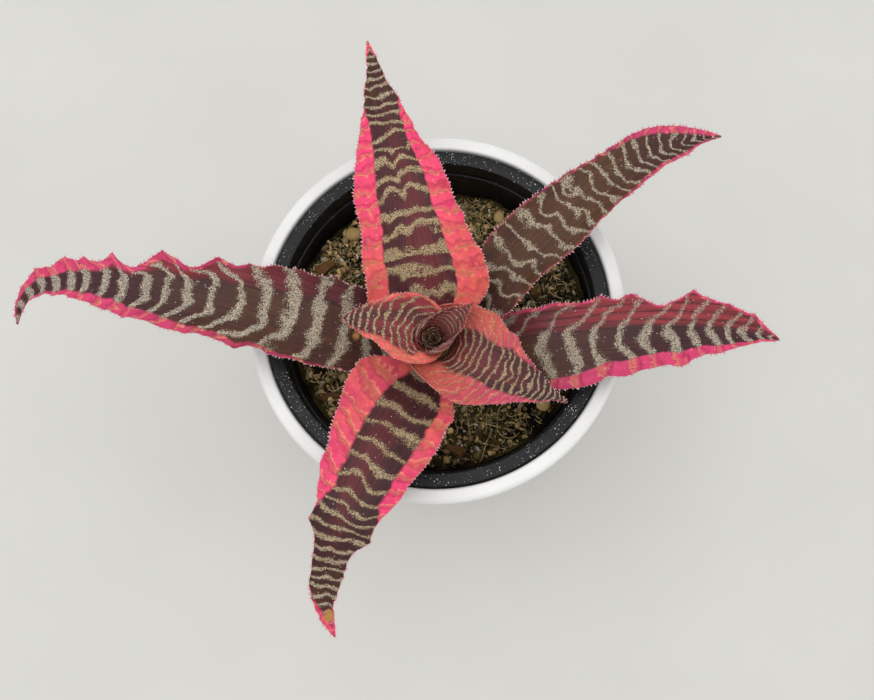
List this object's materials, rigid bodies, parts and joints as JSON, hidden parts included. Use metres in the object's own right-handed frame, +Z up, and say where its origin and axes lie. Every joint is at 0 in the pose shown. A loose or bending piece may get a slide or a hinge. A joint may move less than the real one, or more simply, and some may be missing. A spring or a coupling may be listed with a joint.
{
  "type": "potted bromeliad",
  "caption": "Earth-star bromeliad with long banded pink leaves in a black growing pot nested in a white ceramic cover pot.",
  "frame": {"origin": "middle of the cover pot's flat underside", "axes": "+Z up along the pot's axis, +X along the leaves' longest spread, -Y towards the drooping front leaf"},
  "size_m": [0.2553, 0.1941, 0.1342],
  "materials": {
    "white_ceramic": "pale speckled matt glaze",
    "black_plastic": "thin black moulded plastic with pale mineral specks",
    "potting_mix": "dark peat and moss mix",
    "stem_bark": "dull brown stalk",
    "leaf_blade": "pink and maroon blade with tan scurfy crossbands",
    "young_leaf": "dull red young leaf with fine tan bands",
    "pebble": "dull pale grit",
    "bark_chip": "rough brown bark"
  },
  "bodies": {
    "root": {"outer_pot": "white_ceramic", "nursery_pot": "black_plastic", "potting_mix": "potting_mix", "stem": "stem_bark", "leaf_left": "leaf_blade", "leaf_back_right": "leaf_blade", "leaf_right": "leaf_blade", "leaf_back": "leaf_blade", "leaf_front": "leaf_blade", "leaf_inner_left": "leaf_blade", "leaf_inner_front": "leaf_blade", "leaf_heart": "leaf_blade", "whorl_leaf_outer": "young_leaf", "whorl_leaf_middle": "young_leaf", "whorl_leaf_inner": "young_leaf", "pebble_back_left": "pebble", "pebble_back_right": "pebble", "pebble_front_right": "pebble", "bark_chip_left": "bark_chip", "bark_chip_front": "bark_chip", "bark_chip_front_left": "bark_chip", "bark_chip_right": "bark_chip"}
  },
  "joints": []
}
